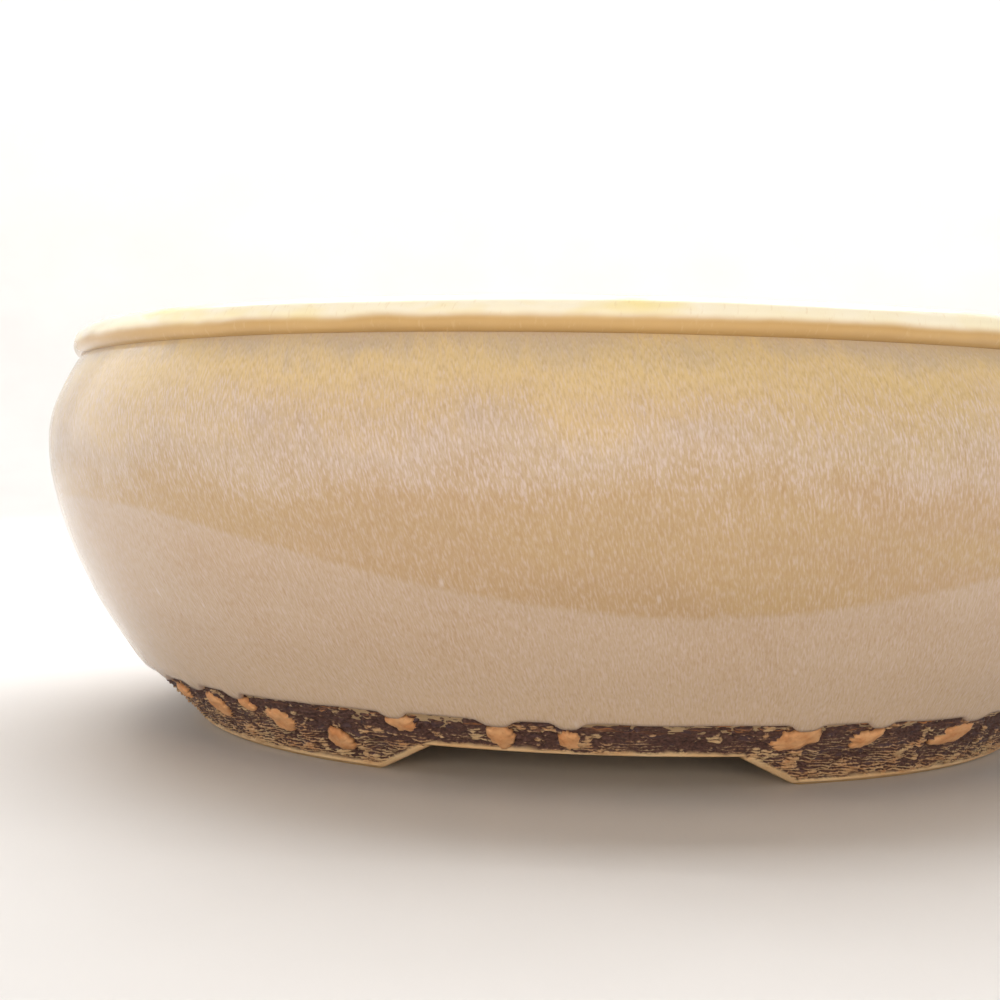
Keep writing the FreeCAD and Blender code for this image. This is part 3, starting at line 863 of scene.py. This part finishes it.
def bark_look():
    """Manganese wash left in the grooves, rubbed back to buff on the ridges and wiped off the edges."""
    look = Look("bark_clay", IOR=1.45)
    flow = look.attribute("flow", "Vector")
    fine = look.noise(flow, (0.34, 0.34, 0.2), 4)
    patch = look.noise(flow, (4, 4, 2), 3)
    wash = look.ramp(fine, [(0.3, srgb(54, 38, 36)), (0.5, srgb(84, 60, 54)), (0.75, srgb(106, 82, 78))])
    violet = look.span(look.noise(flow, (2.2, 2.2, 1.1), 2), 0.55, 0.7, 0, 0.5)
    wash = look.mix(violet, wash, srgb(78, 66, 76))
    buff = look.ramp(patch, [(0.36, srgb(196, 144, 98)), (0.64, srgb(204, 176, 134))])
    buff = look.mix(look.span(fine, 0.4, 0.7, 0, 0.5), buff, srgb(222, 196, 156))
    speckle = look.math("MULTIPLY", look.math("SUBTRACT", fine, 0.5), 1.1)
    worn = look.math("ADD", look.attribute("worn"), speckle)
    colour = look.mix(look.span(worn, -0.12, 0.5, 0, 0.85), wash, buff)
    line = look.span(look.noise(flow, (7, 7, 0.22), 2), 0.54, 0.62)
    near_glaze = look.span(look.attribute("down"), 2.2 * MM, 0.7 * MM, 0, 0.9)
    rust = look.math("MULTIPLY", line, look.math("MULTIPLY", near_glaze, look.span(patch, 0.4, 0.52)))
    colour = look.mix(rust, colour, srgb(196, 132, 78))
    cream = look.ramp(patch, [(0.3, srgb(218, 180, 132)), (0.7, srgb(230, 202, 160))])
    colour = look.mix(look.attribute("wiped"), colour, cream)
    bump = look.bump(fine, 0.08)
    return look.finish(colour, look.span(fine, 0.3, 0.7, 0.6, 0.85), bump)


def dab_look():
    """Smooth orange clay, paler where a finger dragged it, with a few sandy pits and painted shade round its
    edge.
    """
    look = Look("dab_clay", IOR=1.45)
    flow = look.attribute("flow", "Vector")
    cloud = look.noise(flow, (1.6, 1.6, 1.2), 3)
    grain = look.noise(flow, (0.3, 0.3, 0.3), 3)
    colour = look.ramp(cloud, [(0.3, srgb(208, 146, 96)), (0.7, srgb(226, 178, 130))])
    colour = look.mix(look.span(grain, 0.56, 0.75, 0, 0.4), colour, srgb(186, 124, 80))
    # Darker round each dab's edge: painted shade where the mound meets the bark.
    colour = look.mix(look.span(look.attribute("rim"), 0.85, 1.0, 0, 0.4), colour, srgb(150, 100, 68))
    bump = look.bump(grain, 0.07)
    return look.finish(colour, look.span(grain, 0.3, 0.7, 0.5, 0.7), bump)


# ---- studio ------------------------------------------------------------------------------
def aim(thing, place, target):
    thing.location = place
    thing.rotation_euler = (Vector(target) - Vector(place)).to_track_quat("-Z", "Y").to_euler()


def soft_light(name, place, target, width, depth, power):
    data = bpy.data.lights.new(name, "AREA")
    data.shape = "RECTANGLE"
    data.size, data.size_y, data.energy = width, depth, power
    light = bpy.data.objects.new(name, data)
    bpy.context.scene.collection.objects.link(light)
    aim(light, place, target)
    return light


def paper_look():
    look = Look("paper", IOR=1.45)
    place = look.add("ShaderNodeTexCoord").outputs["Object"]
    mottle = look.noise(place, (60, 60, 60), 4)
    colour = look.ramp(mottle, [(0.3, srgb(226, 224, 222)), (0.7, srgb(231, 229, 227))])
    bump = look.bump(look.noise(place, (0.6, 0.6, 0.6), 2), 0.01)
    return look.finish(colour, look.span(mottle, 0.3, 0.7, 0.5, 0.6), bump)


def paper_cove():
    """A table of pale paper that curves up into a wall all round, so every side has a plain ground."""
    hub, table, bend, wall_top = 0.02, 0.8, 0.45, 1.5
    flat_rings, bend_rings, columns = 14, 24, 96
    angle = np.linspace(0, math.pi / 2, bend_rings)[1:]
    flat = np.linspace(hub, table, flat_rings)
    radius = np.concatenate([flat, table + bend * np.sin(angle), [table + bend]])
    height = np.concatenate([0 * flat, bend * (1 - np.cos(angle)), [wall_top]])
    azimuth = np.linspace(0, TURN, columns, endpoint=False)[None, :]
    points = turned(azimuth, radius[:, None], height[:, None])
    faces = grid_faces(len(radius), columns, False, True).tolist() + [list(range(columns))]
    cove = mesh_object("paper_cove", points.reshape(-1, 3), faces, {})
    cove.data.materials.append(paper_look())


def dome_light():
    """A room that is bright overhead, and dim and warm at table height."""
    world = bpy.data.worlds.new("studio")
    world.use_nodes = True
    nodes, links = world.node_tree.nodes, world.node_tree.links
    place = nodes.new("ShaderNodeTexCoord")
    split = nodes.new("ShaderNodeSeparateXYZ")
    rise = nodes.new("ShaderNodeValToRGB")
    low, high = rise.color_ramp.elements
    low.position, high.position = 0.02, 0.45
    low.color, high.color = (0.09, 0.066, 0.045, 1), (0.2, 0.2, 0.2, 1)
    links.new(place.outputs["Generated"], split.inputs[0])
    links.new(split.outputs["Z"], rise.inputs["Fac"])
    links.new(rise.outputs[0], nodes["Background"].inputs["Color"])
    bpy.context.scene.world = world


def studio():
    paper_cove()
    dome_light()
    middle = (0, 0, 0.03)
    soft_light("key_overhead", (-0.03, 0.2, 0.5), middle, 0.6, 0.45, 2.85)
    soft_light("backdrop_wash", (0.0, 0.3, 1.0), (0, 1.25, 0.5), 1.4, 0.4, 12.5)
    soft_light("side_card_left", (-0.8, 0.1, 0.25), middle, 0.9, 0.5, 0.8)
    soft_light("side_card_right", (0.8, 0.1, 0.25), middle, 0.9, 0.5, 0.4)
    front = soft_light("low_front_fill", (0.0, -0.95, 0.2), middle, 0.8, 0.2, 4.2)
    front.visible_glossy = False
    front.data.color = (1.0, 0.87, 0.73)
    bpy.context.scene.view_settings.view_transform = "Standard"


def camera():
    data = bpy.data.cameras.new("camera")
    data.lens, data.sensor_width, data.clip_start = CAMERA_LENS, SENSOR_WIDTH, 0.01
    forward = Vector((math.sin(CAMERA_TURN) * math.cos(CAMERA_DROP),
                      math.cos(CAMERA_TURN) * math.cos(CAMERA_DROP), -math.sin(CAMERA_DROP)))
    level = Vector((math.cos(CAMERA_TURN), -math.sin(CAMERA_TURN), 0))
    upright = level.cross(forward)
    right = math.cos(CAMERA_ROLL) * level + math.sin(CAMERA_ROLL) * upright
    up = math.cos(CAMERA_ROLL) * upright - math.sin(CAMERA_ROLL) * level
    turned_axes = Matrix((right, up, -forward)).transposed()
    view = bpy.data.objects.new("camera", data)
    bpy.context.scene.collection.objects.link(view)
    place = Vector((CAMERA_DISTANCE * math.sin(CAMERA_AZIMUTH),
                    -CAMERA_DISTANCE * math.cos(CAMERA_AZIMUTH), CAMERA_HEIGHT))
    view.matrix_world = Matrix.Translation(place) @ turned_axes.to_4x4()
    bpy.context.scene.camera = view


# ---- the pot -----------------------------------------------------------------------------
def dress_pot():
    clay, bark = clay_look(), bark_look()
    settle(body_glaze(), "outer_glaze", body_glaze_look())
    settle(rim_glaze(), "rim_glaze", rim_glaze_look())
    settle(lip_clay(), "rim_lip", clay)
    settle(wall_clay(), "bowl_wall", clay)
    settle(coil_clay(), "corner_coil", clay)
    settle(slab_clay(), "floor_slab", clay)
    settle(bark_strip(), "bark_band", bark)
    for node, degrees in (("foot_front_right", 60), ("foot_back", 180), ("foot_front_left", 300)):
        settle(foot(f"{node}_bark", math.radians(degrees)), node, bark)
    settle(pressed_dabs(), "clay_dabs", dab_look())


dress_pot()
studio()
camera()
